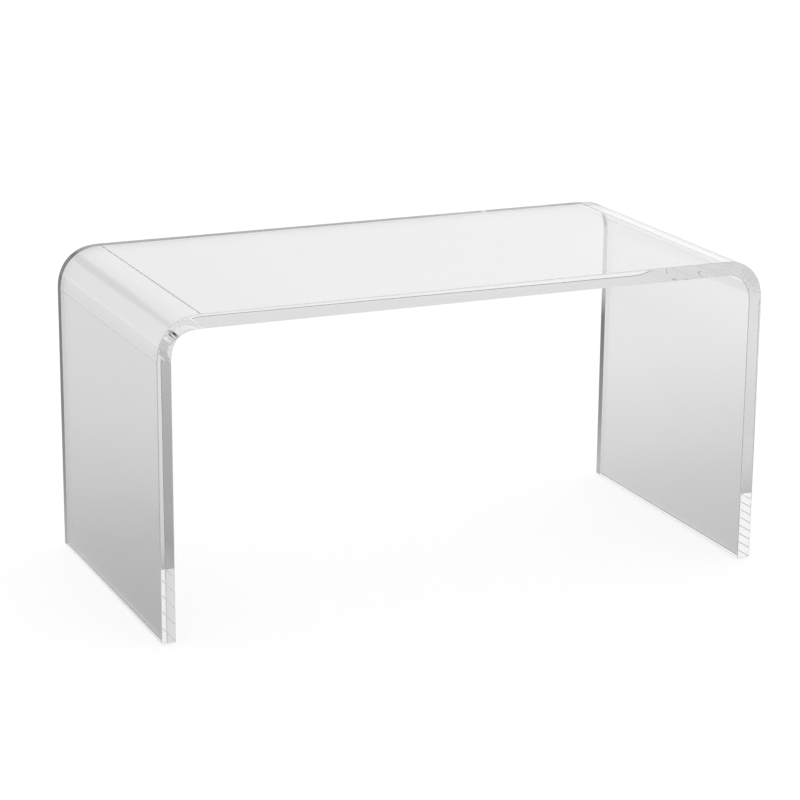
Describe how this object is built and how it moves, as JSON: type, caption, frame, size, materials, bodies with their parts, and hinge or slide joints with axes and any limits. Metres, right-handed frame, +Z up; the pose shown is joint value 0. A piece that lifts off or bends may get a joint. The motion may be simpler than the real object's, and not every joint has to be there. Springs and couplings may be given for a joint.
{
  "type": "waterfall coffee table",
  "caption": "Clear acrylic waterfall coffee table: a thick sheet bent into an upside-down U, its flat top flowing through rounded bends into panel legs on stick-on bumpers.",
  "frame": {"origin": "on the floor under the middle of the top", "axes": "+X along the table's length, +Y from its front edge to its rear edge, +Z up"},
  "size_m": [0.815, 0.396, 0.405],
  "materials": {
    "clear_acrylic": "water-clear cast acrylic, polished on its faces and its cut edges",
    "clear_bumper": "clear soft polyurethane, smooth and slightly cloudy",
    "adhesive": "clear pressure-sensitive adhesive film"
  },
  "bodies": {
    "root": {"bent_sheet": "clear_acrylic", "bumper_front_left": "clear_bumper", "bumper_front_right": "clear_bumper", "bumper_rear_left": "clear_bumper", "bumper_rear_right": "clear_bumper", "adhesive_front_left": "adhesive", "adhesive_front_right": "adhesive", "adhesive_rear_left": "adhesive", "adhesive_rear_right": "adhesive"}
  },
  "joints": []
}
